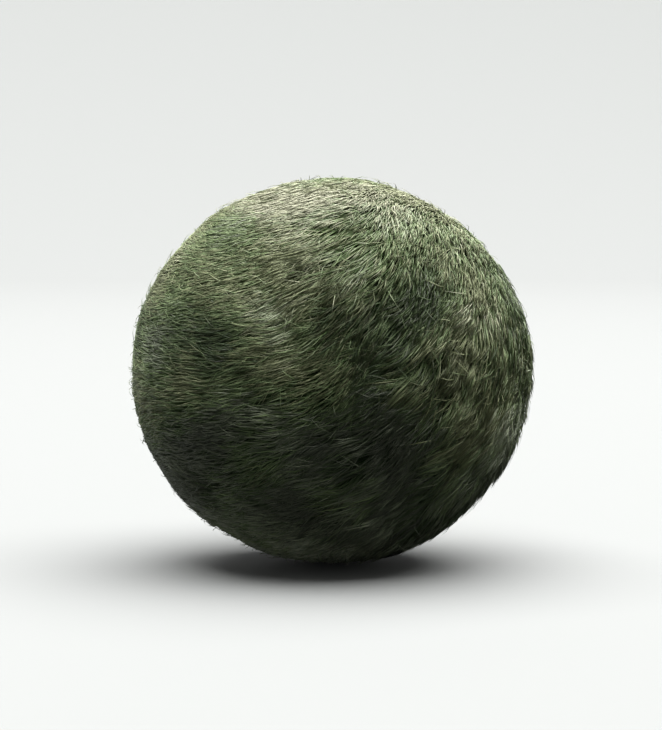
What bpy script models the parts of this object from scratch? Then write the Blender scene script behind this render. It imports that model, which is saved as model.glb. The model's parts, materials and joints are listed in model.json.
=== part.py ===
"""Marimo moss ball: one soft round ball whose combed fibre coat lies in broad overlapping locks.

Units are metres and +Z is up. The origin is the middle of the small flat spot that the ball rests on.
The front of the ball faces -Y.
"""

import math
import random

import bmesh
import bpy
from mathutils import Vector, noise

# Size of the ball over the tips of its coat
BALL_WIDTH = 0.0480
BALL_HEIGHT = 0.0460
FLAT_SPOT_DEPTH = 0.0013

# The coat: broad locks that lie flat and overlap like shingles
LOCK_COUNT = 70
LOCK_LENGTH = 0.0160
LOCK_WIDTH = 0.0074
LOCK_LENGTH_SPREAD = 0.25
LOCK_WIDTH_SPREAD = 0.15
LOCK_TURN_SPREAD = math.radians(16)
LOCK_RISE = 0.0010
LOCK_RISE_SPREAD = 0.3
LOCK_SUNK = 0.0012
LOCK_RINGS = 8
LOCK_SIDES = 7
PATH_STEPS = 10
MOST_BEND = math.radians(7)
SEAM_MERGE = 0.000005
SEED = 6

# The body under the locks
BODY_SUBDIVISIONS = 4
SWELL_HEIGHT = 0.00035

# The front of the coat lies in long arcs. Its heading is the angle of the lay as seen from the front, in
# degrees. It turns across the front, with height, towards the corners and towards the top and bottom, and
# is steeper still round one place near the top, given in shares of the ball's radius from the middle
SWEEP_HEADING = 28.0
SWEEP_TURN_ACROSS = 50.0
SWEEP_TURN_UPWARDS = 26.0
SWEEP_TURN_AT_CORNERS = 34.0
SWEEP_TURN_AT_ENDS = 24.0
STEEP_PLACE = (0.24, 0.70)
STEEP_TURN = 34.0
STEEP_WIDTH = 0.26
SWEEP_STRENGTH = 1.8
SWEEP_REACH = math.radians(80)
LEAST_DEPTH = 0.3

# The whole coat also turns slowly about one axis, clockwise seen from the axis's end, whose longitude from
# the front and latitude are in degrees, and away from the front it wanders from its course
TURN_LONGITUDE = -75.0
TURN_LATITUDE = 62.0
TURN_STRENGTH = 0.6
WANDER = math.radians(60)
WANDER_SCALE = 1.7
WANDER_START = Vector((6.3, 0.4, 8.8))

MOSS_GREEN = (0.085, 0.105, 0.052, 1.0)
MOSS_ROUGHNESS = 0.82


def sphere_direction(longitude, latitude):
    """Unit vector for a longitude from the front (-Y, positive to the right) and a latitude, in degrees."""
    east = math.radians(longitude)
    north = math.radians(latitude)
    return Vector((math.cos(north) * math.sin(east), -math.cos(north) * math.cos(east), math.sin(north)))


def sweep_share(outward):
    """How much the front's long arcs have their way at a point: 1 in the middle of the front."""
    distance = math.acos(max(-1.0, min(1.0, -outward.y))) / SWEEP_REACH
    return math.exp(-distance * distance)


def sweep_flow(outward):
    """The pull of the front's long arcs on the coat at a point of the ball, as a tangent."""
    right, depth, rise = outward.x, -outward.y, outward.z
    heading = SWEEP_HEADING + SWEEP_TURN_ACROSS * right + SWEEP_TURN_UPWARDS * rise
    heading += SWEEP_TURN_AT_CORNERS * right * rise + SWEEP_TURN_AT_ENDS * rise * rise
    off = ((right - STEEP_PLACE[0]) ** 2 + (rise - STEEP_PLACE[1]) ** 2) / STEEP_WIDTH ** 2
    heading += STEEP_TURN * math.exp(-off)
    cosine, sine = math.cos(math.radians(heading)), math.sin(math.radians(heading))
    dip = (right * cosine + rise * sine) / max(depth, LEAST_DEPTH)
    tangent = Vector((-cosine, -dip, -sine))
    tangent -= outward * tangent.dot(outward)
    return tangent.normalized() * SWEEP_STRENGTH * sweep_share(outward)


def comb_direction(outward):
    """The way the coat is combed at a point of the ball, as a unit tangent."""
    axis = sphere_direction(TURN_LONGITUDE, TURN_LATITUDE)
    flow = (sweep_flow(outward) + TURN_STRENGTH * outward.cross(axis)).normalized()
    turn = WANDER * noise.noise(outward * WANDER_SCALE + WANDER_START) * (1 - sweep_share(outward))
    return flow * math.cos(turn) + outward.cross(flow) * math.sin(turn)


def ball_point(direction, above=0.0):
    """The point of the ball's body in a direction from its centre, raised above the surface."""
    across = BALL_WIDTH / 2 - LOCK_RISE
    upright = BALL_HEIGHT / 2 - LOCK_RISE
    on_body = Vector((direction.x * across, direction.y * across, direction.z * upright))
    swell = math.sin(5 * direction.x + 1.3) + math.sin(4 * direction.y - 0.6) * math.cos(3 * direction.z)
    return on_body + direction * (above + SWELL_HEIGHT * swell)


def golden_directions(count):
    """Evenly spread directions, as on a sunflower's spiral."""
    golden_turn = math.pi * (3 - math.sqrt(5))
    for index in range(count):
        height = 1 - 2 * (index + 0.5) / count
        ring = math.sqrt(1 - height * height)
        turn = golden_turn * index
        yield Vector((ring * math.cos(turn), ring * math.sin(turn), height))


def half_path(middle, step, turn, way):
    """Directions from a lock's middle towards its tip (way 1) or its root (way -1), with no sharp bend."""
    path = [middle]
    heading = None
    for _ in range(PATH_STEPS // 2):
        here = path[-1]
        along = comb_direction(here) * way
        along = along * math.cos(turn) + here.cross(along) * math.sin(turn)
        if heading is not None:
            onward = (heading - here * heading.dot(here)).normalized()
            bend = math.atan2(onward.cross(along).dot(here), onward.dot(along))
            bend = max(-MOST_BEND, min(MOST_BEND, bend))
            along = onward * math.cos(bend) + here.cross(onward) * math.sin(bend)
        heading = along
        path.append((here + along * step).normalized())
    return path


def lock_path(middle, length, turn):
    """Directions from the ball's centre along a lock, root first, following the comb through its middle."""
    step = length / PATH_STEPS / (BALL_WIDTH / 2)
    return half_path(middle, step, turn, -1)[:0:-1] + half_path(middle, step, turn, 1)


def on_path(path, share):
    """The direction at a share of the path's length, and the way along it there."""
    place = min(max(share, 0.0), 0.9999) * (len(path) - 1)
    index = int(place)
    here = path[index].slerp(path[index + 1], place - index)
    along = (path[index + 1] - path[index]).normalized()
    return here, along


def lock_width(share):
    """Width of a lock along its length, as a share of its widest: narrow root, full middle, pointed tip."""
    return math.sin(math.pi * share ** 0.85) ** 0.75


def lock_rise(share):
    """Height of a lock's back along its length, as a share of its highest: a slow climb, then a steep fall."""
    crest = 0.78
    if share < crest:
        return -0.4 + 1.4 * (share / crest)
    return 1.0 - 1.6 * ((share - crest) / (1.0 - crest)) ** 1.5


def add_lock(name, middle, rng):
    """One lock: a ball primitive drawn out along the comb, sunk at its root and raised near its tip."""
    length = LOCK_LENGTH * rng.uniform(1 - LOCK_LENGTH_SPREAD, 1 + LOCK_LENGTH_SPREAD)
    width = LOCK_WIDTH * rng.uniform(1 - LOCK_WIDTH_SPREAD, 1 + LOCK_WIDTH_SPREAD)
    rise = LOCK_RISE * rng.uniform(1 - LOCK_RISE_SPREAD, 1.0)
    path = lock_path(middle, length, rng.uniform(-LOCK_TURN_SPREAD, LOCK_TURN_SPREAD))
    shape = bmesh.new()
    bmesh.ops.create_uvsphere(shape, u_segments=LOCK_SIDES, v_segments=LOCK_RINGS, radius=1.0)
    for vertex in shape.verts:
        share = math.acos(max(-1.0, min(1.0, vertex.co.z))) / math.pi
        ring = math.hypot(vertex.co.x, vertex.co.y)
        sideways, up = (vertex.co.x / ring, vertex.co.y / ring) if ring > 1e-6 else (0.0, 0.0)
        here, along = on_path(path, share)
        across = here.cross(along).normalized()
        back = rise * lock_rise(share)
        height = -LOCK_SUNK + (back + LOCK_SUNK) * (up + 1) / 2
        vertex.co = ball_point(here, height) + across * sideways * width / 2 * lock_width(share)
    bmesh.ops.recalc_face_normals(shape, faces=shape.faces)
    mesh = bpy.data.meshes.new(name)
    shape.to_mesh(mesh)
    shape.free()
    return bpy.data.objects.new(name, mesh)


def add_body():
    """The ball under the locks."""
    shape = bmesh.new()
    bmesh.ops.create_icosphere(shape, subdivisions=BODY_SUBDIVISIONS, radius=1.0)
    for vertex in shape.verts:
        vertex.co = ball_point(vertex.co.normalized())
    mesh = bpy.data.meshes.new("moss_ball")
    shape.to_mesh(mesh)
    shape.free()
    return bpy.data.objects.new("moss_ball", mesh)


def add_floor_cutter(top):
    """A block whose top is the level at which the ball is flattened."""
    side = 2 * BALL_WIDTH
    bpy.ops.mesh.primitive_cube_add(size=side, location=(0, 0, top - side / 2))
    cutter = bpy.context.object
    cutter.name = "flat_spot_cutter"
    return cutter


def as_helper(helper, collection):
    """Keeps a cutter or a union piece out of the finished model."""
    for owner in list(helper.users_collection):
        owner.objects.unlink(helper)
    collection.objects.link(helper)
    helper.hide_render = True
    helper.display_type = "WIRE"


def evaluated_mesh(source):
    """The object's mesh with its modifiers applied."""
    graph = bpy.context.evaluated_depsgraph_get()
    return bpy.data.meshes.new_from_object(source.evaluated_get(graph))


def apply_modifiers(target):
    """Makes the modified shape the object's own mesh."""
    finished = evaluated_mesh(target)
    target.modifiers.clear()
    target.data = finished


def moss_material():
    """Dull grey-green moss."""
    material = bpy.data.materials.new("moss_green")
    material.use_nodes = True
    shader = material.node_tree.nodes["Principled BSDF"]
    shader.inputs["Base Color"].default_value = MOSS_GREEN
    shader.inputs["Roughness"].default_value = MOSS_ROUGHNESS
    shader.inputs["Metallic"].default_value = 0.0
    return material


def stand_on_origin(ball):
    """Brings the ball to its size over the locks, its middle over the origin and its flat spot at height 0."""
    points = [vertex.co for vertex in ball.data.vertices]
    low = Vector(min(point[axis] for point in points) for axis in range(3))
    high = Vector(max(point[axis] for point in points) for axis in range(3))
    for point in points:
        point.x = (point.x - (low.x + high.x) / 2) * BALL_WIDTH / (high.x - low.x)
        point.y = (point.y - (low.y + high.y) / 2) * BALL_WIDTH / (high.y - low.y)
        point.z = (point.z - low.z) * BALL_HEIGHT / (high.z - low.z)


def tidy_seams(ball):
    """Merges the crowded points that the joins leave where three surfaces meet."""
    shape = bmesh.new()
    shape.from_mesh(ball.data)
    bmesh.ops.remove_doubles(shape, verts=shape.verts, dist=SEAM_MERGE)
    bmesh.ops.dissolve_degenerate(shape, edges=shape.edges, dist=SEAM_MERGE)
    bmesh.ops.triangulate(shape, faces=shape.faces)
    shape.to_mesh(ball.data)
    shape.free()


def build():
    """Builds the ball as one solid."""
    for leftover in list(bpy.data.objects):
        bpy.data.objects.remove(leftover)
    parts = bpy.data.collections.new("marimo_moss_ball")
    helpers = bpy.data.collections.new("locks_and_cutter")
    bpy.context.scene.collection.children.link(parts)
    bpy.context.scene.collection.children.link(helpers)

    ball = add_body()
    parts.objects.link(ball)
    rng = random.Random(SEED)
    locks = bpy.data.collections.new("locks")
    helpers.children.link(locks)
    for index, middle in enumerate(golden_directions(LOCK_COUNT)):
        as_helper(add_lock(f"lock_{index:02d}", middle, rng), locks)
    join = ball.modifiers.new("join_locks", "BOOLEAN")
    join.operation = "UNION"
    join.operand_type = "COLLECTION"
    join.collection = locks
    join.solver = "EXACT"
    apply_modifiers(ball)

    cutter = add_floor_cutter(-BALL_HEIGHT / 2 + FLAT_SPOT_DEPTH)
    as_helper(cutter, helpers)
    flatten = ball.modifiers.new("flat_spot", "BOOLEAN")
    flatten.operation = "DIFFERENCE"
    flatten.object = cutter
    flatten.solver = "EXACT"
    apply_modifiers(ball)
    tidy_seams(ball)
    stand_on_origin(ball)

    ball.data.materials.clear()
    ball.data.materials.append(moss_material())
    ball.data.shade_smooth()
    ball.data.set_sharp_from_angle(angle=math.radians(40))
    print("triangles:", sum(len(face.vertices) - 2 for face in ball.data.polygons))
    print("size in mm:", [round(side * 1000, 2) for side in ball.dimensions])


build()
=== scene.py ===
"""Looks of the marimo moss ball: a felted core under many thousands of fine combed fibres.

The fibres start on a ball inside the solid, follow much the same comb as its locks, gather into tufts and
reach out to the solid's surface. Everything is in metres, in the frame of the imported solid: the ball rests at
height 0 with its middle over the origin, and its front faces -Y.
"""

from __future__ import annotations
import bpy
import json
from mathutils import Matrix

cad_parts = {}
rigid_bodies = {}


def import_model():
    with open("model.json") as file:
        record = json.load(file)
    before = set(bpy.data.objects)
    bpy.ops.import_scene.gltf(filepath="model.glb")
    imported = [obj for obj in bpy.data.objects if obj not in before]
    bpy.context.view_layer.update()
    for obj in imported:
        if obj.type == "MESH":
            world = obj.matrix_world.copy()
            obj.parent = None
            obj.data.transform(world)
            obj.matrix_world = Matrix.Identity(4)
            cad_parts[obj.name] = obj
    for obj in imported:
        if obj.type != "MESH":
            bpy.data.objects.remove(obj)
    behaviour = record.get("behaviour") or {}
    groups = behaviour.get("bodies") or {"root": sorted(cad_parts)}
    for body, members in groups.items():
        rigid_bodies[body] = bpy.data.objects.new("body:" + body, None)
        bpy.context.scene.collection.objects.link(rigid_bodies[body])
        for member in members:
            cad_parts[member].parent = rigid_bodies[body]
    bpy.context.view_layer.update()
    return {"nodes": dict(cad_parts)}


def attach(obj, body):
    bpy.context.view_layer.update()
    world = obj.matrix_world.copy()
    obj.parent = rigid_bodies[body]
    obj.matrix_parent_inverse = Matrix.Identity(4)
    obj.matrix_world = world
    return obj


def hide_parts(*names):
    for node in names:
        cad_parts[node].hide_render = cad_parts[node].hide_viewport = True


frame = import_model()

import json
import logging
import math
from dataclasses import dataclass, field
from enum import Enum

import bmesh
import bpy
import numpy as np
from mathutils import Vector, noise

logging.basicConfig(level=logging.INFO, format="%(name)s: %(message)s")
LOG = logging.getLogger("moss_ball")

Socket = bpy.types.NodeSocket
Node = bpy.types.Node
NodeTree = bpy.types.NodeTree
Object = bpy.types.Object
Material = bpy.types.Material
Pair = tuple[float, float]
Triple = tuple[float, float, float]
Feeds = dict[int | str, object]
Rows = np.ndarray

WHITE = (1.0, 1.0, 1.0, 1.0)


class Quarter(Enum):
    """The part of the ball on which a piece of the coat has its roots."""

    FRONT = 0
    RIGHT = 1
    BACK = 2
    LEFT = 3
    ALL_ROUND = -1


class Hue(Enum):
    """The three families of colour among the fibres, in their order on the strip of colours."""

    OLIVE = 0
    MOSS = 1
    SLATE = 2


def unit(rows: Rows) -> Rows:
    """Vectors in rows, each made one unit long."""
    return rows / np.linalg.norm(rows, axis=1, keepdims=True)


@dataclass(frozen=True)
class Drift:
    """Smooth noise about 0 over a unit ball: how strong and how fine it is, and where it starts."""

    strength: float
    scale: float
    start: Triple

    def near(self, place: Vector) -> float:
        """The noise at one place."""
        return self.strength * noise.noise(place * self.scale + Vector(self.start))

    def at(self, outward: Rows) -> Rows:
        """The noise at each row's place."""
        return np.array([self.near(Vector(row)) for row in outward])


@dataclass(frozen=True)
class Sweep:
    """The front of the ball, where the coat lies in long arcs.

    The heading is the angle of the lay as seen from the front, in degrees. It turns across the front, and is
    steeper still round one place near the top, given in shares of the ball's radius from the middle.
    """

    heading: float = 28.0
    turn_across: float = 50.0
    turn_upwards: float = 30.0
    turn_at_corners: float = 20.0
    turn_at_top: float = -25.0
    turn_at_foot: float = 34.0
    steep_place: Pair = (0.42, 0.62)
    steep_turn: float = 28.0
    steep_width: float = 0.24
    strength: float = 1.8
    reach: float = 80.0
    least_depth: float = 0.3

    def share(self, outward: Rows) -> Rows:
        """How much the sweep has its way: 1 in the middle of the front, and next to nothing at the back."""
        distance = np.arccos(np.clip(-outward[:, 1], -1.0, 1.0)) / math.radians(self.reach)
        return np.exp(-(distance**2))

    def flow(self, outward: Rows) -> Rows:
        """The sweep's pull on the coat.

        Args:
            outward: unit vectors from the ball's centre, one in each row.

        Returns:
            Tangents, one in each row, longest in the middle of the front.
        """
        right, depth, rise = outward[:, 0], -outward[:, 1], outward[:, 2]
        heading = self.heading + self.turn_across * right + self.turn_upwards * rise
        heading += self.turn_at_corners * right * rise
        heading += np.where(rise > 0.0, self.turn_at_top, self.turn_at_foot) * rise * rise
        across, up = self.steep_place
        off = ((right - across) ** 2 + (rise - up) ** 2) / self.steep_width**2
        heading = np.radians(heading + self.steep_turn * np.exp(-off))
        cosine, sine = np.cos(heading), np.sin(heading)
        dip = (right * cosine + rise * sine) / np.maximum(depth, self.least_depth)
        tangent = np.stack((-cosine, -dip, -sine), axis=1)
        tangent -= outward * np.sum(tangent * outward, axis=1, keepdims=True)
        return self.strength * self.share(outward)[:, None] * unit(tangent)


@dataclass(frozen=True)
class Turn:
    """A slow turn of the whole coat about one axis, clockwise seen from the end of the axis."""

    longitude: float = -75.0
    latitude: float = 62.0
    strength: float = 0.6

    def flow(self, outward: Rows) -> Rows:
        """The turn's pull on the coat, as tangents in rows."""
        east, north = math.radians(self.longitude), math.radians(self.latitude)
        axis = (math.cos(north) * math.sin(east), -math.cos(north) * math.cos(east), math.sin(north))
        return self.strength * np.cross(outward, axis)


@dataclass(frozen=True)
class Patch:
    """A paler or darker patch of the front, placed in shares of the ball's radius from the front's middle.

    It fades out smoothly round the ball's sides, as fast as its fade says. Most patches are the coat's own
    mottling; the paler ones at the foot, the lower front, the edges and the top are painted light.
    """

    right: float
    rise: float
    width: float
    height: float
    light: float
    fade: float = 1.6

    def lighten(self, outward: Rows) -> Rows:
        """How much paler the patch makes the coat at points of a unit ball."""
        across = (outward[:, 0] - self.right) / self.width
        up = (outward[:, 2] - self.rise) / self.height
        front = np.clip(0.5 - self.fade * outward[:, 1], 0.0, 1.0)
        return self.light * np.exp(-(across**2 + up**2)) * front * front * (3.0 - 2.0 * front)


# The place, the size and the light of each patch; the painted light among them is marked
PATCHES = tuple(Patch(*numbers) for numbers in (
    (-0.15, 0.41, 0.18, 0.14, 0.30),
    (-0.08, 0.62, 0.22, 0.09, -0.08),
    (-0.68, 0.52, 0.14, 0.12, -0.07),
    (-0.45, 0.22, 0.22, 0.16, -0.35),
    (0.19, 0.40, 0.13, 0.17, -0.28),
    (0.24, 0.66, 0.12, 0.12, 0.12),
    (0.44, 0.80, 0.10, 0.10, 0.09),
    (0.43, 0.51, 0.13, 0.11, -0.28),
    (0.42, 0.22, 0.16, 0.15, -0.34),
    (0.76, 0.42, 0.12, 0.15, 0.12),
    (0.68, 0.16, 0.10, 0.11, 0.07),
    (0.92, 0.26, 0.07, 0.14, -0.22),
    (-0.34, -0.06, 0.12, 0.09, 0.15),
    # painted reflection: a paler rim down the left edge
    (-0.86, -0.08, 0.11, 0.18, 0.20),
    (-0.50, -0.27, 0.22, 0.15, -0.20),
    (-0.16, -0.34, 0.16, 0.12, 0.08),
    # painted reflection: a paler rim down the right edge
    (0.92, -0.12, 0.11, 0.22, 0.28),
    (0.38, -0.14, 0.25, 0.32, -0.33),
    (0.58, -0.37, 0.18, 0.15, -0.17),
    (-0.06, -0.60, 0.30, 0.16, -0.18),
    # painted light: these two lift the lower front out of its shade
    (-0.42, -0.70, 0.22, 0.13, 0.18),
    (0.42, -0.74, 0.18, 0.12, 0.18),
    # painted light: a paler foot, lifted out of the contact shadow
    (0.00, -0.90, 0.50, 0.14, 0.45),
    # painted highlight: a paler top
    (-0.05, 0.90, 0.42, 0.14, 0.30),
))


@dataclass(frozen=True)
class Comb:
    """The way in which the whole coat is combed, where it is ruffled, and where it is pale or dark.

    It wanders a little everywhere, and more broadly away from the front. Its mottling is plainer at the
    front, where the patches are, some of which are painted light.
    """

    sweep: Sweep = Sweep()
    turn: Turn = Turn()
    patches: tuple[Patch, ...] = PATCHES
    patch_strength: float = 1.25
    mottle: Drift = Drift(0.28, 2.6, (4.4, 8.1, 0.7))
    plainer_front: float = 0.6
    wander: Drift = Drift(math.radians(24), 4.0, (17.2, 0.8, 10.2))
    broad_wander: Drift = Drift(math.radians(60), 1.7, (6.3, 0.4, 8.8))
    ruffled_side: Triple = (0.90, -0.20, -0.05)
    ruffle_everywhere: float = 0.30
    ruffle_on_side: float = 0.75
    ruffle_in_patches: float = 0.9
    ruffle_drift: Drift = Drift(1.0, 2.3, (9.4, 2.2, 5.8))
    fine_ruffle_drift: Drift = Drift(0.5, 5.0, (1.4, 6.2, 3.8))
    sleek_top: float = 0.80
    hue_middle: float = 0.54
    # painted shade: the hue runs towards grey slate at the foot, in the colour of the shaded foot
    hue_upwards: float = -0.16
    hue_at_foot: float = 0.20
    hue_drift: Drift = Drift(0.42, 2.8, (12.3, 16.6, 15.1))
    eye_width: float = 0.13

    def flow(self, outward: Rows) -> Rows:
        """The pull on the coat, as tangents in rows: none at all in the eye of a whorl."""
        return self.sweep.flow(outward) + self.turn.flow(outward)

    def eye(self, outward: Rows) -> Rows:
        """How near points of a unit ball are to a whorl's eye, where fibres lie every way: from 0 to 1."""
        pull = np.linalg.norm(self.flow(outward), axis=1)
        return np.exp(-((pull / self.eye_width) ** 2))

    def direction(self, outward: Rows) -> Rows:
        """The way the coat lies at points of a unit ball.

        Args:
            outward: unit vectors from the ball's centre, one in each row.

        Returns:
            Unit tangents, one in each row.
        """
        flow = unit(self.flow(outward))
        broad = self.broad_wander.at(outward) * (1.0 - self.sweep.share(outward))
        turn = (self.wander.at(outward) + broad)[:, None]
        return flow * np.cos(turn) + np.cross(outward, flow) * np.sin(turn)

    def ruffle(self, outward: Rows) -> Rows:
        """How ruffled the coat is at points of a unit ball, from 0, sleek, to 1, in loose tufts."""
        side = outward @ np.array(self.ruffled_side)
        patches = self.ruffle_drift.at(outward) + self.fine_ruffle_drift.at(outward)
        sleek = self.sleek_top * np.maximum(outward[:, 2], 0.0) ** 2
        ruffled = self.ruffle_everywhere + self.ruffle_on_side * side + self.ruffle_in_patches * patches
        return np.clip(ruffled - sleek, 0.0, 1.0)

    def light(self, outward: Rows) -> Rows:
        """How much paler or darker than usual the coat is at points of a unit ball."""
        plainer = 1.0 - self.plainer_front * self.sweep.share(outward)
        # the patches add painted light at the foot, the lower front, the edges and the top to the coat's own
        # mottling
        patches = sum(patch.lighten(outward) for patch in self.patches)
        return self.mottle.at(outward) * plainer + self.patch_strength * patches

    def hue(self, outward: Rows) -> Rows:
        """The coat's colours at points of a unit ball: low for olive, middling for moss, high for slate."""
        height = outward[:, 2]
        # painted shade: greyer slate towards the foot
        hue = self.hue_middle + self.hue_upwards * height + self.hue_at_foot * np.maximum(-height, 0.0)
        return hue + self.hue_drift.at(outward)

    def map_object(self) -> Object:
        """A unit ball that carries the comb's direction and the rest, for the fibres to read."""
        shape = bmesh.new()
        bmesh.ops.create_icosphere(shape, subdivisions=6, radius=1.0)
        mesh = mesh_from(shape, "comb_map")
        outward = unit(np.array([vertex.co for vertex in mesh.vertices], dtype=np.float64))
        comb = mesh.attributes.new("comb", "FLOAT_VECTOR", "POINT")
        comb.data.foreach_set("vector", self.direction(outward).astype(np.float32).ravel())
        layers = {"ruffle": self.ruffle, "light": self.light, "hue": self.hue, "eye": self.eye}
        for name, values in layers.items():
            layer = mesh.attributes.new(name, "FLOAT", "POINT")
            layer.data.foreach_set("value", values(outward).astype(np.float32))
        return new_object("comb_map", mesh)


def new_object(name: str, data: bpy.types.ID) -> Object:
    """Puts a new object into the scene and returns it."""
    thing = bpy.data.objects.new(name, data)
    bpy.context.scene.collection.objects.link(thing)
    return thing


def mesh_from(shape: bmesh.types.BMesh, name: str) -> bpy.types.Mesh:
    """Turns a shape into a mesh, and frees the shape."""
    mesh = bpy.data.meshes.new(name)
    shape.to_mesh(mesh)
    shape.free()
    return mesh


@dataclass
class Wiring:
    """Adds nodes to a tree and wires them up."""

    tree: NodeTree

    def socket(self, name: str, kind: str, way: str = "INPUT") -> bpy.types.NodeTreeInterfaceSocket:
        """Adds a named input or output to the tree."""
        return self.tree.interface.new_socket(name, in_out=way, socket_type=f"NodeSocket{kind}")

    def node(self, kind: str, feeds: Feeds | None = None, **settings: object) -> Node:
        """Adds a node.

        Args:
            kind: the node's type, where a geometry node's comes without its prefix.
            feeds: what goes into its inputs, by place or name: a socket or a plain value.
            **settings: the node's own settings.

        Returns:
            The new node.
        """
        node = self.tree.nodes.new(kind if "Node" in kind else f"GeometryNode{kind}")
        for name, value in settings.items():
            setattr(node, name, value)
        return self.feed(node, feeds or {})

    def feed(self, node: Node, feeds: Feeds) -> Node:
        """Links a node's inputs to sockets, or sets their plain values, and returns the node."""
        for key, value in feeds.items():
            if isinstance(value, bpy.types.NodeSocket):
                self.tree.links.new(value, node.inputs[key])
            else:
                node.inputs[key].default_value = value
        return node

    def result(self, kind: str, feeds: Feeds | None = None, **settings: object) -> Socket:
        """Adds a node and returns its first output."""
        return self.node(kind, feeds, **settings).outputs[0]

    def math(self, operation: str, *values: object, clamp: bool = False) -> Socket:
        """A Math node's result."""
        return self.result("ShaderNodeMath", dict(enumerate(values)), operation=operation, use_clamp=clamp)

    def times(self, product: object, *others: object) -> Socket:
        """The product of some numbers."""
        for other in others:
            product = self.math("MULTIPLY", product, other)
        return product

    def plus(self, total: object, *others: object) -> Socket:
        """The sum of some numbers."""
        for other in others:
            total = self.math("ADD", total, other)
        return total

    def scaled(self, value: object, factor: object, start: object) -> Socket:
        """A number times a factor, on top of a start."""
        return self.math("MULTIPLY_ADD", value, factor, start)

    def vector(self, operation: str, *values: object, scale: object | None = None) -> Socket:
        """A Vector Math node's result, where it is a vector."""
        feeds = dict(enumerate(values))
        if scale is not None:
            feeds["Scale"] = scale
        return self.node("ShaderNodeVectorMath", feeds, operation=operation).outputs["Vector"]

    def mix(self, factor: object, first: object, second: object, kind: str = "FLOAT") -> Socket:
        """A blend of two numbers, vectors or colours."""
        low, high, out = {"FLOAT": (2, 3, 0), "VECTOR": (4, 5, 1), "RGBA": (6, 7, 2)}[kind]
        feeds = {0: factor, low: first, high: second}
        return self.node("ShaderNodeMix", feeds, data_type=kind).outputs[out]

    def ramp(self, value: object, low: object, high: object, to_low: object, to_high: object) -> Socket:
        """A number carried from one range to another, and kept inside it."""
        return self.result("ShaderNodeMapRange", dict(enumerate((value, low, high, to_low, to_high))))

    def noise(self, place: object, scale: object, detail: float, offset: float) -> Socket:
        """Smooth noise about 0.5 at a place."""
        moved = self.vector("ADD", place, (offset, -offset, 0.6 * offset))
        feeds = {"Vector": moved, "Scale": scale, "Detail": detail}
        return self.node("ShaderNodeTexNoise", feeds).outputs["Fac"]

    def parts(self, vector: Socket) -> bpy.types.NodeOutputs:
        """A vector's X, Y and Z."""
        return self.node("ShaderNodeSeparateXYZ", {0: vector}).outputs

    def here(self) -> Socket:
        """Each point's own place."""
        return self.result("InputPosition")

    def moved(self, geometry: Socket, place: Socket) -> Socket:
        """Points or fibres set to new places."""
        return self.result("SetPosition", {"Geometry": geometry, "Position": place})

    def named(self, name: str, kind: str = "FLOAT") -> Socket:
        """An attribute that an earlier node stored."""
        return self.result("InputNamedAttribute", {"Name": name}, data_type=kind)

    def store(self, geometry: Socket, name: str, value: object, kind: str = "FLOAT",
              domain: str = "POINT") -> Socket:
        """Stores an attribute and returns the geometry that carries it."""
        feeds = {"Geometry": geometry, "Name": name, "Value": value}
        return self.result("StoreNamedAttribute", feeds, data_type=kind, domain=domain)

    def chance(self, low: object, high: object, seed: object) -> Socket:
        """A random number for each point."""
        feeds = {2: low, 3: high, "Seed": seed}
        return self.node("FunctionNodeRandomValue", feeds, data_type="FLOAT").outputs[1]

    def sample(self, geometry: Socket, value: Socket, index: object, kind: str = "FLOAT") -> Socket:
        """A value read from one point of another geometry."""
        feeds = {"Geometry": geometry, "Value": value, "Index": index}
        return self.result("SampleIndex", feeds, data_type=kind, domain="POINT")

    def on_map(self, comb_map: Socket, name: str, kind: str = "FLOAT") -> Socket:
        """What the comb map says at each point's own place."""
        feeds = {"Mesh": comb_map, "Value": self.named(name, kind), "Sample Position": self.here()}
        return self.node("SampleNearestSurface", feeds, data_type=kind).outputs["Value"]


@dataclass(frozen=True)
class BallShape:
    """The ball inside the coat, from which the fibres grow."""

    centre: Triple = (0.0, 0.0, 0.0230)
    radii: Triple = (0.0213, 0.0213, 0.0203)
    rest_level: float = 0.00012
    coat_depth: float = 0.0025
    furthest_reach: float = 0.02


def combed_path() -> NodeTree:
    """Makes the node group that draws points out along the comb, each a step further in its fibre.

    Returns:
        A group that takes points on a unit ball with the attributes order, step, turn and bend.
    """
    wiring = Wiring(bpy.data.node_groups.new("combed_path", "GeometryNodeTree"))
    for name, kind in {"Points": "Geometry", "Comb Map": "Geometry", "Steps": "Int"}.items():
        wiring.socket(name, kind)
    wiring.socket("Points", "Geometry", "OUTPUT")
    given = wiring.node("NodeGroupInput").outputs
    start = wiring.node("RepeatInput")
    end = wiring.node("RepeatOutput")
    start.pair_with_output(end)
    wiring.feed(start, {"Iterations": given["Steps"], "Geometry": given["Points"]})
    done = start.outputs["Iteration"]
    outward = wiring.vector("NORMALIZE", wiring.here())
    combed = wiring.on_map(given["Comb Map"], "comb", "FLOAT_VECTOR")
    share = wiring.math("DIVIDE", done, given["Steps"])
    angle = wiring.scaled(wiring.named("bend"), share, wiring.named("turn"))
    feeds = {"Vector": combed, "Axis": outward, "Angle": angle}
    turned = wiring.result("ShaderNodeVectorRotate", feeds, rotation_type="AXIS_ANGLE")
    stride = wiring.vector("SCALE", wiring.vector("NORMALIZE", turned), scale=wiring.named("step"))
    onward = wiring.vector("NORMALIZE", wiring.vector("ADD", outward, stride))
    further = wiring.math("GREATER_THAN", wiring.named("order"), wiring.plus(done, 0.5))
    feeds = {"Geometry": start.outputs["Geometry"], "Selection": further, "Position": onward}
    wiring.feed(end, {"Geometry": wiring.result("SetPosition", feeds)})
    wiring.node("NodeGroupOutput", {"Points": end.outputs["Geometry"]})
    return wiring.tree


@dataclass(frozen=True)
class Level:
    """How far tufts, wisps or single fibres stray: each a plain number, or the name of the tree's input."""

    order: int
    turn: float | str
    bend: float | str
    step: float | str
    lift: float | str
    tone: float | str
    seed: str = "Tuft Seed"


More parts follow.
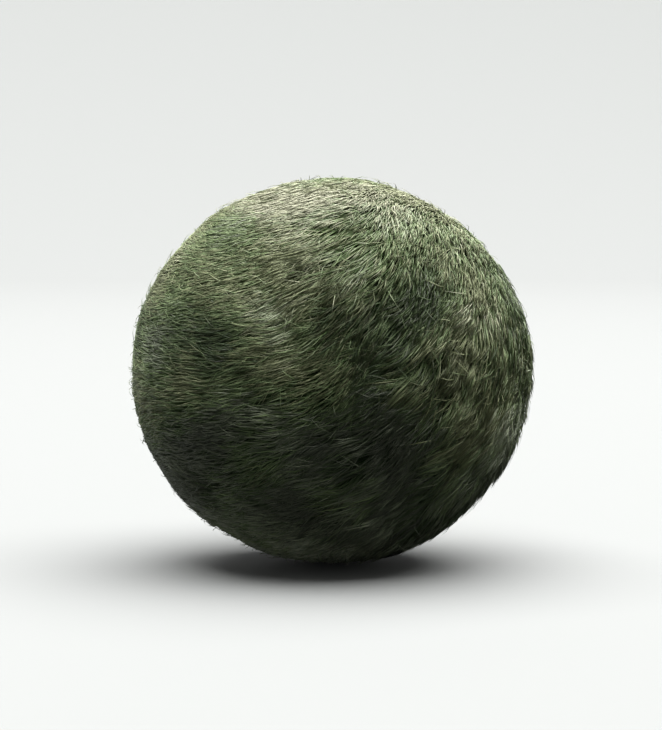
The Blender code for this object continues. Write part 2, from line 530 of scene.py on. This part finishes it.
TUFT = Level(1, turn=0.16, bend=0.34, step=0.20, lift=0.22, tone=0.17)
WISP = Level(2, turn=0.12, bend=0.30, step=0.22, lift=0.20, tone=0.12)
FIBRE = Level(3, turn="Stray Turn", bend="Curl", step="Length Spread", lift=0.12, tone=0.10, seed="Seed")

# What a tuft's ways are before chance changes them
USUAL_WAYS = {"turn": 0.0, "bend": 0.0, "step": 1.0, "lift": 0.5, "tone": 0.5}


@dataclass(frozen=True)
class Dye:
    """How a fibre finds its place on the strip of colours: which hue it has, and how light it is."""

    hue_chance: float = 0.3
    hue_by_tone: float = 0.2
    hue_edges: Pair = (0.44, 0.66)
    middle: float = 0.41
    # painted light and shade: the coat is made paler towards the top and darker towards the foot, as the light
    # falls from above
    painted_light_upwards: float = 0.24
    fleck: float = 0.40
    fleck_scale: float = 6.0
    fleck_offset: float = 9.0
    margin: float = 0.07
    step_per_side: float = 0.0012


# The fibre tree's inputs, by kind
FIBRE_INPUTS: dict[str, tuple[str, ...]] = {
    "Object": ("Comb Map", "Form"),
    "Float": (
        "Tuft Spacing", "Wisp Spacing", "Fibres Per Area", "Fibre Length", "Length Spread", "Thickness",
        "Tuft Gathering", "Wisp Gathering", "Stray Turn", "Curl", "Frizz", "Lowest Lift", "Highest Lift",
        "Rise", "Form Relief", "Shade",
    ),
    "Int": ("Steps", "Quarter", "Tuft Seed", "Seed"),
    "Material": ("Finish",),
}


@dataclass
class FibreTree(Wiring):
    """The Geometry Nodes tree that grows, combs, gathers and thickens the fibres of one piece of the coat.

    Each pair says what being ruffled adds, and the value where the coat is sleek: for the density of tufts
    and wisps, their hold on what belongs to them, their straying, and the fibres' length.
    """

    shape: BallShape
    path: NodeTree
    density: Pair = (-1.0, 1.6)
    tuft_hold: Pair = (0.75, 0.25)
    wisp_hold: Pair = (0.6, 0.4)
    straying: Pair = (1.3, 0.4)
    length: Pair = (0.75, 0.65)
    longer_at_top: float = 0.40
    flatter_rise: float = -1.2
    frizz_rarity: float = 6.0
    turn_in_eye: float = 14.0
    late_gathering: float = 1.2
    thinnest: float = 0.75
    stoutest: float = 1.2
    root_swell: float = 8.0
    tip_taper: float = 3.4
    sides: int = 3
    point_merge: float = 1.0e-7
    dye: Dye = Dye()
    sockets: dict[str, str] = field(default_factory=dict)
    given: bpy.types.NodeOutputs | None = None
    comb_map: Socket | None = None

    def build(self) -> FibreTree:
        """Makes the tree and returns this object."""
        for kind, names in FIBRE_INPUTS.items():
            for name in names:
                self.sockets[name] = self.socket(name, kind).identifier
        self.socket("Geometry", "Geometry", "OUTPUT")
        self.given = given = self.node("NodeGroupInput").outputs
        self.comb_map = self.shape_of("Comb Map")
        tufts = self.spread(given["Tuft Spacing"], given["Tuft Seed"])
        tufts = self.with_ways(tufts, TUFT)
        wisps = self.spread(given["Wisp Spacing"], self.plus(given["Tuft Seed"], 1.0))
        wisps = self.with_ways(wisps, WISP, tufts)
        pull = self.times(given["Tuft Gathering"], self.by_ruffle(self.tuft_hold))
        wisp_guides = self.gathered(self.drawn_out(wisps), self.drawn_out(tufts), pull)
        fibres = self.with_ways(self.rooted_fibres(), FIBRE, wisps)
        stout = self.chance(self.thinnest, self.stoutest, self.plus(given["Seed"], 50.0))
        fibres = self.store(fibres, "stout", stout)
        fibres = self.drawn_out(self.store(fibres, "strip", self.strip_place()))
        hold = self.math("SUBTRACT", 1.0, self.named("frizz"))
        hold = self.times(hold, self.by_ruffle(self.wisp_hold), given["Wisp Gathering"])
        fibres = self.lifted(self.gathered(fibres, wisp_guides, hold))
        self.node("NodeGroupOutput", {"Geometry": self.thickened(fibres)})
        return self

    def shape_of(self, name: str) -> Socket:
        """The geometry of the object that an input names."""
        return self.node("ObjectInfo", {"Object": self.given[name]}).outputs["Geometry"]

    def by_ruffle(self, pair: Pair) -> Socket:
        """What one of the pairs comes to at each point."""
        return self.scaled(self.named("ruffle"), *pair)

    def along(self) -> Socket:
        """How far along its fibre each point is: 0 at the root and 1 at the tip."""
        return self.math("DIVIDE", self.named("order"), self.given["Steps"])

    def strewn(self, per_area: Socket, seed: Socket) -> Socket:
        """Points strewn at random over the unit ball."""
        feeds = {"Mesh": self.comb_map, "Density": per_area, "Seed": seed}
        return self.node("DistributePointsOnFaces", feeds, distribute_method="RANDOM").outputs["Points"]

    def spread(self, spacing: Socket, seed: Socket) -> Socket:
        """Roots of tufts or wisps, a given distance apart on the whole, further where the coat is ruffled."""
        per_area = self.math("DIVIDE", 1.0, self.times(spacing, spacing))
        return self.strewn(self.times(per_area, self.by_ruffle(self.density)), seed)

    def rooted_fibres(self) -> Socket:
        """The fibres' roots over the wanted quarter of the ball, numbered, each with its frizz."""
        given = self.given
        roots = self.strewn(given["Fibres Per Area"], given["Seed"])
        parts = self.parts(self.here())
        longitude = self.math("ARCTAN2", parts["X"], self.times(parts["Y"], -1.0))
        quarter = self.math("DIVIDE", self.plus(longitude, math.pi / 4), math.pi / 2)
        quarter = self.math("FLOORED_MODULO", self.math("FLOOR", quarter), 4.0)
        miss = self.math("ABSOLUTE", self.math("SUBTRACT", quarter, given["Quarter"]))
        picky = self.math("GREATER_THAN", given["Quarter"], -0.5)
        outside = self.times(self.math("GREATER_THAN", miss, 0.5), picky)
        feeds = {"Geometry": roots, "Selection": outside}
        roots = self.result("DeleteGeometry", feeds, domain="POINT")
        roots = self.store(roots, "fibre", self.result("InputIndex"), "INT")
        roots = self.store(roots, "eye", self.on_map(self.comb_map, "eye"))
        frizz = self.chance(0.0, 1.0, self.plus(given["Seed"], 60.0))
        frizz = self.math("POWER", frizz, self.frizz_rarity)
        return self.store(roots, "frizz", self.math("MAXIMUM", frizz, self.named("eye")))

    def with_ways(self, roots: Socket, level: Level, parents: Socket | None = None) -> Socket:
        """Gives each root its own ways: those of the tuft or wisp that it belongs to, and a little chance.

        Args:
            roots: the roots that get their ways.
            level: how far they stray.
            parents: the roots of the tufts or wisps, or None for the tufts themselves.

        Returns:
            The roots with turn, bend, step, lift, tone, ruffle and the index of what they belong to.
        """
        if parents is not None:
            feeds = {"Geometry": parents, "Sample Position": self.here()}
            nearest = self.result("SampleNearest", feeds, domain="POINT")
            roots = self.store(roots, "parent", nearest, "INT")
        roots = self.store(roots, "ruffle", self.on_map(self.comb_map, "ruffle"))
        for offset, (name, usual) in enumerate(USUAL_WAYS.items()):
            way = self.own_way(level, name, offset)
            if parents is None:
                way = self.plus(way, usual)
                way = self.stride(way) if name == "step" else way
            else:
                theirs = self.sample(parents, self.named(name), self.named("parent", "INT"))
                way = self.times(theirs, self.plus(way, 1.0)) if name == "step" else self.plus(theirs, way)
            roots = self.store(roots, name, way)
        return roots

    def own_way(self, level: Level, name: str, offset: int) -> Socket:
        """What chance gives a root in one way: more in ruffled tufts and wisps, and more to frizzy fibres."""
        amount = getattr(level, name)
        amount = self.given[amount] if isinstance(amount, str) else amount
        seed = self.plus(self.given[level.seed], 10.0 * level.order + offset)
        own = self.chance(self.times(amount, -1.0), amount, seed)
        if level is not FIBRE:
            return self.times(own, self.by_ruffle(self.straying))
        if name not in ("turn", "bend"):
            return own
        wild = self.scaled(self.named("frizz"), self.given["Frizz"], 1.0)
        if name == "turn":
            wild = self.scaled(self.named("eye"), self.turn_in_eye, wild)
        return self.times(own, wild)

    def stride(self, share: Socket) -> Socket:
        """A tuft's step along the comb: longer where the coat is ruffled and towards the top."""
        height = self.math("MAXIMUM", self.parts(self.here())["Z"], 0.0)
        long = self.times(height, self.longer_at_top)
        long = self.plus(long, self.by_ruffle(self.length))
        usual = self.math("DIVIDE", self.given["Fibre Length"], self.given["Steps"])
        return self.times(share, long, usual)

    def strip_place(self) -> Socket:
        """The fibre's place on the strip of colours: its hue's third of the strip, and how light it is."""
        dye = self.dye
        tone = self.math("SUBTRACT", self.named("tone"), 0.5)
        drift = self.on_map(self.comb_map, "hue")
        drift = self.scaled(self.chance(-0.5, 0.5, self.given["Seed"]), dye.hue_chance, drift)
        drift = self.scaled(tone, dye.hue_by_tone, drift)
        hue = self.plus(*(self.math("GREATER_THAN", drift, edge) for edge in dye.hue_edges))
        fleck = self.noise(self.here(), dye.fleck_scale, 1.0, dye.fleck_offset)
        # painted light and shade: the coat starts paler at the top and darker at the foot
        light = self.scaled(self.parts(self.here())["Z"], dye.painted_light_upwards, dye.middle)
        light = self.scaled(self.math("SUBTRACT", fleck, 0.5), dye.fleck, light)
        # adds the comb map's mottling with the patches' painted light, the fibre's own tone, and the piece's
        # painted shade
        light = self.plus(light, self.on_map(self.comb_map, "light"), self.plus(tone, self.given["Shade"]))
        light = self.math("MAXIMUM", light, 0.0, clamp=True)
        light = self.scaled(light, 1.0 - 2.0 * dye.margin, dye.margin)
        return self.math("DIVIDE", self.plus(hue, light), float(len(Hue)))

    def drawn_out(self, roots: Socket) -> Socket:
        """Turns each root into the points of one fibre, and draws them out along the comb."""
        steps = self.given["Steps"]
        feeds = {"Geometry": roots, "Amount": self.plus(steps, 1.0)}
        copies = self.node("DuplicateElements", feeds, domain="POINT").outputs
        points = self.store(copies["Geometry"], "order", copies["Duplicate Index"])
        feeds = {"Points": points, "Comb Map": self.comb_map, "Steps": steps}
        return self.result("Group", feeds, node_tree=self.path)

    def gathered(self, fibres: Socket, guides: Socket, pull: Socket) -> Socket:
        """Draws fibres or wisps together towards the tip of what they belong to."""
        here = self.here()
        count = self.plus(self.given["Steps"], 1.0)
        index = self.scaled(self.named("parent", "INT"), count, self.named("order"))
        guide = self.sample(guides, here, index, "FLOAT_VECTOR")
        pull = self.times(pull, self.math("POWER", self.along(), self.late_gathering))
        return self.moved(fibres, self.vector("NORMALIZE", self.mix(pull, here, guide, "VECTOR")))

    def lifted(self, fibres: Socket) -> Socket:
        """Sets the fibres on the inner ball and raises them towards the solid's surface, tips highest."""
        given, shape = self.given, self.shape
        outward = self.here()
        base = self.vector("MULTIPLY_ADD", outward, shape.radii, shape.centre)
        feeds = {"Target Geometry": self.shape_of("Form"), "Source Position": base}
        feeds |= {"Ray Direction": outward, "Ray Length": shape.furthest_reach}
        ray = self.node("Raycast", feeds).outputs
        depth = self.mix(ray["Is Hit"], shape.coat_depth, ray["Hit Distance"])
        depth = self.mix(given["Form Relief"], shape.coat_depth, depth)
        fibres = self.store(fibres, "share", self.along())
        away = self.math("SUBTRACT", 1.0, self.named("share"))
        rise = self.scaled(self.named("ruffle"), self.flatter_rise, given["Rise"])
        climb = self.math("SUBTRACT", 1.0, self.math("POWER", away, rise))
        lift = self.mix(self.named("lift"), given["Lowest Lift"], given["Highest Lift"])
        height = self.times(depth, climb, lift)
        parts = self.parts(self.vector("ADD", base, self.vector("SCALE", outward, scale=height)))
        above_rest = self.math("MAXIMUM", parts["Z"], shape.rest_level)
        place = self.result("ShaderNodeCombineXYZ", {0: parts["X"], 1: parts["Y"], 2: above_rest})
        return self.moved(fibres, place)

    def thickened(self, fibres: Socket) -> Socket:
        """Gives the fibres three sides and a point at each end, their place on the strip and their finish."""
        share = self.named("share")
        swell = self.math("MINIMUM", self.times(share, self.root_swell), 1.0)
        taper = self.math("SUBTRACT", 1.0, self.math("POWER", share, self.tip_taper))
        stout = self.times(swell, taper, self.named("stout"), self.times(self.given["Thickness"], 0.5))
        fibres = self.store(fibres, "stout", stout)
        feeds = {"Points": fibres, "Curve Group ID": self.named("fibre", "INT")}
        curves = self.result("PointsToCurves", feeds | {"Weight": self.named("order")})
        feeds = {"Resolution": self.sides, "Radius": 1.0}
        ring = self.result("CurvePrimitiveCircle", feeds, mode="RADIUS")
        ring = self.store(ring, "side", self.result("InputIndex"))
        feeds = {"Curve": curves, "Profile Curve": ring, "Scale": self.named("stout")}
        mesh = self.result("CurveToMesh", feeds)
        mesh = self.result("MergeByDistance", {"Geometry": mesh, "Distance": self.point_merge})
        across = self.scaled(self.named("side"), self.dye.step_per_side, self.named("strip"))
        strip = self.result("ShaderNodeCombineXYZ", {0: across, 1: self.named("share")})
        mesh = self.store(mesh, "OFBake", strip, "FLOAT2", "CORNER")
        mesh = self.result("SetShadeSmooth", {"Geometry": mesh})
        mesh = self.result("RealizeInstances", {"Geometry": mesh})
        return self.result("SetMaterial", {"Geometry": mesh, "Material": self.given["Finish"]})


@dataclass(frozen=True)
class ColourStrip:
    """The colours of the fibres, dark to light, in linear light, one row for each hue."""

    olive: tuple[Triple, ...] = (
        (0.0125, 0.0150, 0.0060),
        (0.0395, 0.0450, 0.0205),
        (0.1060, 0.1160, 0.0620),
        (0.2250, 0.2220, 0.1640),
    )
    moss: tuple[Triple, ...] = (
        (0.0082, 0.0145, 0.0045),
        (0.0290, 0.0430, 0.0160),
        (0.0860, 0.1120, 0.0520),
        (0.2040, 0.2200, 0.1560),
    )
    slate: tuple[Triple, ...] = (
        (0.0128, 0.0148, 0.0100),
        (0.0365, 0.0422, 0.0275),
        (0.0960, 0.1110, 0.0710),
        (0.2000, 0.2140, 0.1600),
    )
    margin: float = 0.03

    def fill(self, ramp: bpy.types.ColorRamp) -> None:
        """Writes the rows into a colour ramp, each into its third."""
        ramp.interpolation = "LINEAR"
        stops = []
        for hue, row in {Hue.OLIVE: self.olive, Hue.MOSS: self.moss, Hue.SLATE: self.slate}.items():
            for index, colour in enumerate(row):
                share = self.margin + (1.0 - 2.0 * self.margin) * index / (len(row) - 1)
                stops.append(((hue.value + share) / len(Hue), colour))
        while len(ramp.elements) < len(stops):
            ramp.elements.new(0.5)
        for element, (place, colour) in zip(ramp.elements, stops):
            element.position = place
            element.color = (*colour, 1.0)


@dataclass(frozen=True)
class FibreColour:
    """The shader node group that gives a fibre its colour, with painted shade, darker and greener at the root,
    and a painted highlight, paler at the tip.

    Each pair of shares says where along the fibre the painted shade, the painted highlight and the painted
    green of shadow begin and end.
    """

    strip: ColourStrip
    painted_shadow_tint: tuple[float, ...] = (0.50, 1.0, 0.26, 1.0)
    shade_along: Pair = (0.25, 0.80)
    paling_along: Pair = (0.65, 1.0)
    green_along: Pair = (0.20, 0.62)
    gloss_along: Pair = (0.2, 1.0)
    roughness: Pair = (0.70, 0.52)

    def build(self) -> NodeTree:
        """Makes the group.

        Returns:
            A group that takes Tone and Along, and puts out Colour and Roughness.
        """
        wiring = Wiring(bpy.data.node_groups.new("fibre_colour", "ShaderNodeTree"))
        for name, usual in {"Tone": 0.5, "Along": 0.6, "Root Shade": 0.35, "Tip Light": 1.3}.items():
            wiring.socket(name, "Float").default_value = usual
        wiring.socket("Root Tint", "Color").default_value = self.painted_shadow_tint
        wiring.socket("Colour", "Color", "OUTPUT")
        wiring.socket("Roughness", "Float", "OUTPUT")
        given = wiring.node("NodeGroupInput").outputs
        ramp = wiring.node("ShaderNodeValToRGB", {"Fac": given["Tone"]})
        self.strip.fill(ramp.color_ramp)
        # painted shade darker towards the root, painted highlight paler towards the tip, and a painted green of
        # shadow towards the root
        shade = wiring.ramp(given["Along"], *self.shade_along, given["Root Shade"], 1.0)
        paler = wiring.ramp(given["Along"], *self.paling_along, 1.0, given["Tip Light"])
        deep = wiring.ramp(given["Along"], *self.green_along, 1.0, 0.0)
        tint = wiring.mix(deep, WHITE, given["Root Tint"], "RGBA")
        colour = wiring.vector("MULTIPLY", ramp.outputs["Color"], tint)
        colour = wiring.vector("SCALE", colour, scale=wiring.times(shade, paler))
        rough = wiring.ramp(given["Along"], *self.gloss_along, *self.roughness)
        wiring.node("NodeGroupOutput", {"Colour": colour, "Roughness": rough})
        return wiring.tree


def new_material(name: str) -> tuple[Material, Wiring, Node]:
    """A new material, the wiring of its tree, and its shader."""
    made = bpy.data.materials.new(name)
    made.use_nodes = True
    return made, Wiring(made.node_tree), made.node_tree.nodes["Principled BSDF"]


@dataclass(frozen=True)
class FibreFinish:
    """Fine glossy fibres, coloured by their own strip coordinates as far along as their reach."""

    name: str
    # painted shade at the root and painted highlight at the tip
    painted_root_shade: float = 0.38
    painted_tip_highlight: float = 1.25
    # a reach under 1 keeps a fibre within its painted root shade
    reach: float = 1.0
    specular: float = 0.10
    sheen: float = 0.02
    sheen_roughness: float = 0.45
    sheen_tint: tuple[float, ...] = (0.72, 0.86, 0.52, 1.0)

    def material(self, colour_group: NodeTree) -> Material:
        """Makes the material from the shared colour group."""
        made, wiring, shader = new_material(self.name)
        strip = wiring.parts(wiring.result("ShaderNodeUVMap", uv_map="OFBake"))
        feeds = {"Tone": strip["X"], "Along": wiring.times(strip["Y"], self.reach)}
        feeds |= {"Root Shade": self.painted_root_shade, "Tip Light": self.painted_tip_highlight}
        dyed = wiring.node("ShaderNodeGroup", feeds, node_tree=colour_group).outputs
        feeds = {"Base Color": dyed["Colour"], "Roughness": dyed["Roughness"]}
        feeds |= {"Specular IOR Level": self.specular, "Sheen Weight": self.sheen}
        feeds |= {"Sheen Roughness": self.sheen_roughness, "Sheen Tint": self.sheen_tint}
        wiring.feed(shader, feeds)
        return made


@dataclass(frozen=True)
class FeltFinish:
    """The felted core that shows between the fibres, dark with painted shade: mottled, with a fine matted bump.
    """

    name: str = "felted_core"
    mottle_scale: float = 260.0
    mottle_range: Pair = (0.3, 0.7)
    tones: Pair = (0.36, 0.46)
    # painted shade: the core is coloured as a fibre's root, darker and greener as if deep in shadow
    along: float = 0.2
    specular: float = 0.05
    tangle_scale: float = 2600.0
    bump_strength: float = 0.7
    bump_height: float = 0.0003

    def material(self, colour_group: NodeTree) -> Material:
        """Makes the material from the shared colour group."""
        made, wiring, shader = new_material(self.name)
        place = wiring.node("ShaderNodeTexCoord").outputs["Object"]
        mottle = wiring.noise(place, self.mottle_scale, 4.0, 0.3)
        feeds = {"Tone": wiring.ramp(mottle, *self.mottle_range, *self.tones), "Along": self.along}
        dyed = wiring.node("ShaderNodeGroup", feeds, node_tree=colour_group).outputs
        feeds = {"Height": wiring.noise(place, self.tangle_scale, 3.0, 1.1)}
        feeds |= {"Strength": self.bump_strength, "Distance": self.bump_height}
        bump = wiring.node("ShaderNodeBump", feeds).outputs["Normal"]
        feeds = {"Base Color": dyed["Colour"], "Roughness": dyed["Roughness"], "Normal": bump}
        wiring.feed(shader, feeds | {"Specular IOR Level": self.specular})
        return made


@dataclass
class FeltedCore:
    """The matted body of the ball, just under the tips of the coat."""

    shape: BallShape
    finish: FeltFinish
    depth: float = 0.0010
    lump_height: float = 0.0004
    lumps: Drift = Drift(1.0, 14.0, (0.0, 0.0, 0.0))
    fine_lumps: Drift = Drift(0.5, 31.0, (5.0, 2.0, 8.0))

    def build(self, colour_group: NodeTree) -> None:
        """Makes the core and puts it in place of the solid.

        Args:
            colour_group: the shared fibre colour group.
        """
        shape = bmesh.new()
        bmesh.ops.create_icosphere(shape, subdivisions=5, radius=1.0)
        centre, radii = Vector(self.shape.centre), Vector(self.shape.radii)
        for vertex in shape.verts:
            outward = vertex.co.normalized()
            lump = self.lumps.near(outward) + self.fine_lumps.near(outward)
            base = Vector(a * b for a, b in zip(outward, radii)) + centre
            vertex.co = base + outward * (self.depth + self.lump_height * lump)
            vertex.co.z = max(vertex.co.z, self.shape.rest_level)
        mesh = mesh_from(shape, "felted_core")
        mesh.materials.append(self.finish.material(colour_group))
        mesh.shade_smooth()
        core = new_object("felted_core", mesh)
        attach(core, "root")
        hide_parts("moss_ball")
        LOG.info("felted_core: %d faces", len(mesh.polygons))


# What a grown mesh keeps of its attributes
KEPT_LAYERS = ("OFBake", "material_index", "sharp_face")


@dataclass(frozen=True)
class CoatPiece:
    """One piece of the coat: where it grows, and how its fibres are cut and combed.

    The number of fibres is what the whole ball would have. A piece on one quarter has its share of them.
    """

    name: str
    quarter: Quarter
    fibres: int
    length: float
    thickness: float
    seed: int
    steps: int = 3
    tuft_seed: int = 7
    tuft_spacing: float = 0.0015
    wisp_spacing: float = 0.0005
    length_spread: float = 0.2
    tuft_gathering: float = 0.8
    wisp_gathering: float = 0.7
    lowest_lift: float = 0.66
    highest_lift: float = 1.02
    stray_turn: float = 0.16
    curl: float = 0.30
    frizz: float = 4.0
    rise: float = 3.0
    # painted shade: a darker place on the strip of colours, given to the undercoat
    shade: float = 0.0
    form_relief: float = 0.25

    def build(self, fibre_tree: FibreTree, comb_map: Object, form: Object, finish: Material) -> None:
        """Grows the piece and turns it into a plain mesh.

        Args:
            fibre_tree: the tree that grows fibres.
            comb_map: the unit ball that carries the comb.
            form: the solid's surface, which the tips reach.
            finish: the fibres' material.
        """
        host = new_object(self.name, bpy.data.meshes.new(self.name))
        modifier = host.modifiers.new("fibres", "NODES")
        modifier.node_group = fibre_tree.tree
        radius = sum(fibre_tree.shape.radii) / 3
        values = {
            "Comb Map": comb_map,
            "Form": form,
            "Finish": finish,
            "Quarter": self.quarter.value,
            "Tuft Spacing": self.tuft_spacing / radius,
            "Wisp Spacing": self.wisp_spacing / radius,
            "Fibre Length": self.length / radius,
            "Fibres Per Area": self.fibres / (4 * math.pi),
        }
        for name, identifier in fibre_tree.sockets.items():
            own = name.lower().replace(" ", "_")
            modifier[identifier] = values[name] if name in values else getattr(self, own)
        graph = bpy.context.evaluated_depsgraph_get()
        grown = host.evaluated_get(graph)
        mesh = bpy.data.meshes.new_from_object(grown, preserve_all_data_layers=True, depsgraph=graph)
        host.modifiers.clear()
        for name in mesh.attributes.keys():
            attribute = mesh.attributes.get(name)
            if attribute and not attribute.is_required and name not in KEPT_LAYERS:
                mesh.attributes.remove(attribute)
        host.data = mesh
        mesh.name = self.name
        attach(host, "root")
        LOG.info("%s: %d faces", self.name, len(mesh.polygons))


@dataclass
class Coat:
    """The whole combed coat: a short undercoat, dark with painted shade, the long lay in four quarters, and a
    few strays.
    """

    shape: BallShape
    comb: Comb
    combed_fibres: int = 65500
    length: float = 0.0050
    thickness: float = 0.00016

    def pieces(self) -> list[tuple[CoatPiece, FibreFinish]]:
        """The pieces of the coat and their finishes."""
        lay = FibreFinish("combed_fibres")
        # painted shade: the undercoat stays within its painted root shade, without a painted tip highlight
        under = FibreFinish("under_fibres", painted_root_shade=0.34, painted_tip_highlight=1.0, reach=0.6)
        stray = FibreFinish("stray_fibres", painted_root_shade=0.5, painted_tip_highlight=1.1, sheen=0.06)
        undercoat = CoatPiece(
            "undercoat", Quarter.ALL_ROUND, 15000, 0.0032, 0.00022, seed=301, steps=2, tuft_gathering=0.0,
            wisp_gathering=0.0, lowest_lift=0.45, highest_lift=0.72, stray_turn=math.pi, curl=0.8, frizz=0.0,
            # painted shade: the undercoat sits darker on the strip of colours
            shade=-0.25,
        )
        strays = CoatPiece(
            "stray_fibres", Quarter.ALL_ROUND, 1200, 0.0038, 0.00009, seed=501, steps=4, tuft_gathering=0.1,
            wisp_gathering=0.0, lowest_lift=0.95, highest_lift=1.10, stray_turn=0.7, curl=1.2, frizz=0.0,
        )
        made = [(undercoat, under)]
        for quarter in (Quarter.FRONT, Quarter.RIGHT, Quarter.BACK, Quarter.LEFT):
            name = f"combed_coat_{quarter.name.lower()}"
            piece = CoatPiece(name, quarter, self.combed_fibres, self.length, self.thickness, seed=101)
            made.append((piece, lay))
        return [*made, (strays, stray)]

    def build(self, form: Object, colour_group: NodeTree) -> None:
        """Grows every piece of the coat.

        Args:
            form: the solid's surface.
            colour_group: the shared fibre colour group.
        """
        comb_map = self.comb.map_object()
        tree = bpy.data.node_groups.new("fibre_coat", "GeometryNodeTree")
        fibre_tree = FibreTree(tree, self.shape, combed_path()).build()
        finishes: dict[FibreFinish, Material] = {}
        for piece, finish in self.pieces():
            if finish not in finishes:
                finishes[finish] = finish.material(colour_group)
            piece.build(fibre_tree, comb_map, form, finishes[finish])
        bpy.data.objects.remove(comb_map)


def surface_of_solid() -> Object:
    """A merged copy of the solid's surface, for the fibres to reach, to be removed once they have grown."""
    shape = bmesh.new()
    source = frame["nodes"]["moss_ball"]
    shape.from_mesh(source.data)
    shape.transform(source.matrix_world)
    bmesh.ops.remove_doubles(shape, verts=shape.verts, dist=1e-6)
    return new_object("solid_surface", mesh_from(shape, "solid_surface"))


def aimed(thing: Object, place: Vector, aim: Vector) -> Object:
    """Puts a light or the camera at a place, turned to face a point, and returns it."""
    thing.location = place
    thing.rotation_euler = (aim - place).to_track_quat("-Z", "Y").to_euler()
    return thing


@dataclass(frozen=True)
class Lamp:
    """A soft square light that faces the ball."""

    name: str
    place: Triple
    size: float
    power: float

    def hang(self, aim: Vector) -> None:
        """Puts the light up."""
        data = bpy.data.lights.new(self.name, "AREA")
        data.size = self.size
        data.energy = self.power
        aimed(new_object(self.name, data), Vector(self.place), aim)


@dataclass
class Studio:
    """A pale seamless bowl, soft lights, and the camera at the photograph's angle."""

    bowl_radius: float = 1.6
    floor_radius: float = 0.9
    floor_rings: tuple[float, ...] = (0.0, 0.25, 0.55)
    wall_height: float = 1.5
    turns: int = 96
    rise_steps: int = 24
    paper_colour: tuple[float, ...] = (0.095, 0.097, 0.095, 1.0)
    lamps: tuple[Lamp, ...] = (
        Lamp("top_light", (0.20, 0.10, 2.0), 3.0, 620.0),
        Lamp("front_light", (0.25, -1.35, 0.16), 0.5, 2.0),
        Lamp("back_light", (-0.25, 1.35, 0.60), 0.9, 4.0),
    )
    room_light: float = 0.08
    lens: float = 120.0
    distance: float = 0.286
    elevation: float = 4.0
    aim: Triple = (0.0, 0.0, 0.0235)

    def backdrop(self) -> None:
        """The pale floor that sweeps up into a wall all round."""
        profile = [(radius, 0.0) for radius in (*self.floor_rings, self.floor_radius)]
        bend = self.bowl_radius - self.floor_radius
        for step in range(1, self.rise_steps + 1):
            angle = math.pi / 2 * step / self.rise_steps
            profile.append((self.floor_radius + bend * math.sin(angle), bend * (1 - math.cos(angle))))
        profile.append((self.bowl_radius, self.wall_height))
        shape = bmesh.new()
        points = [shape.verts.new((radius, 0.0, height)) for radius, height in profile]
        edges = [shape.edges.new(pair) for pair in zip(points, points[1:])]
        bmesh.ops.spin(
            shape, geom=points + edges, axis=(0, 0, 1), cent=(0, 0, 0), angle=2 * math.pi, steps=self.turns
        )
        bmesh.ops.remove_doubles(shape, verts=shape.verts, dist=1e-5)
        bmesh.ops.recalc_face_normals(shape, faces=shape.faces)
        mesh = mesh_from(shape, "studio_floor")
        mesh.shade_smooth()
        paper, wiring, shader = new_material("pale_paper")
        wiring.feed(shader, {"Base Color": self.paper_colour, "Roughness": 0.95, "Specular IOR Level": 0.1})
        mesh.materials.append(paper)
        floor = new_object("studio_floor", mesh)

    def lights(self) -> None:
        """A broad light overhead, faint ones in front and behind, and a little light from all round."""
        for lamp in self.lamps:
            lamp.hang(Vector(self.aim))
        world = bpy.data.worlds.new("soft_room")
        world.use_nodes = True
        feeds = {"Color": WHITE, "Strength": self.room_light}
        Wiring(world.node_tree).feed(world.node_tree.nodes["Background"], feeds)
        bpy.context.scene.world = world

    def camera(self) -> None:
        """The camera, level with the ball and a little above it."""
        data = bpy.data.cameras.new("camera")
        data.lens = self.lens
        data.clip_start = 0.01
        data.clip_end = 20.0
        tilt = math.radians(self.elevation)
        aim = Vector(self.aim)
        place = aim + Vector((0.0, -math.cos(tilt), math.sin(tilt))) * self.distance
        bpy.context.scene.camera = aimed(new_object("camera", data), place, aim)
        bpy.context.scene.view_settings.view_transform = "Standard"

    def build(self) -> None:
        """Sets up the floor, the lights and the camera."""
        self.backdrop()
        self.lights()
        self.camera()
        LOG.info("studio: floor, lights and camera are set")


def main() -> None:
    """Builds the studio, the felted core and the combed coat, in that order."""
    Studio().build()
    shape = BallShape()
    colour_group = FibreColour(ColourStrip()).build()
    form = surface_of_solid()
    FeltedCore(shape, FeltFinish()).build(colour_group)
    Coat(shape, Comb()).build(form, colour_group)
    bpy.data.objects.remove(form)


if __name__ == "__main__":
    main()
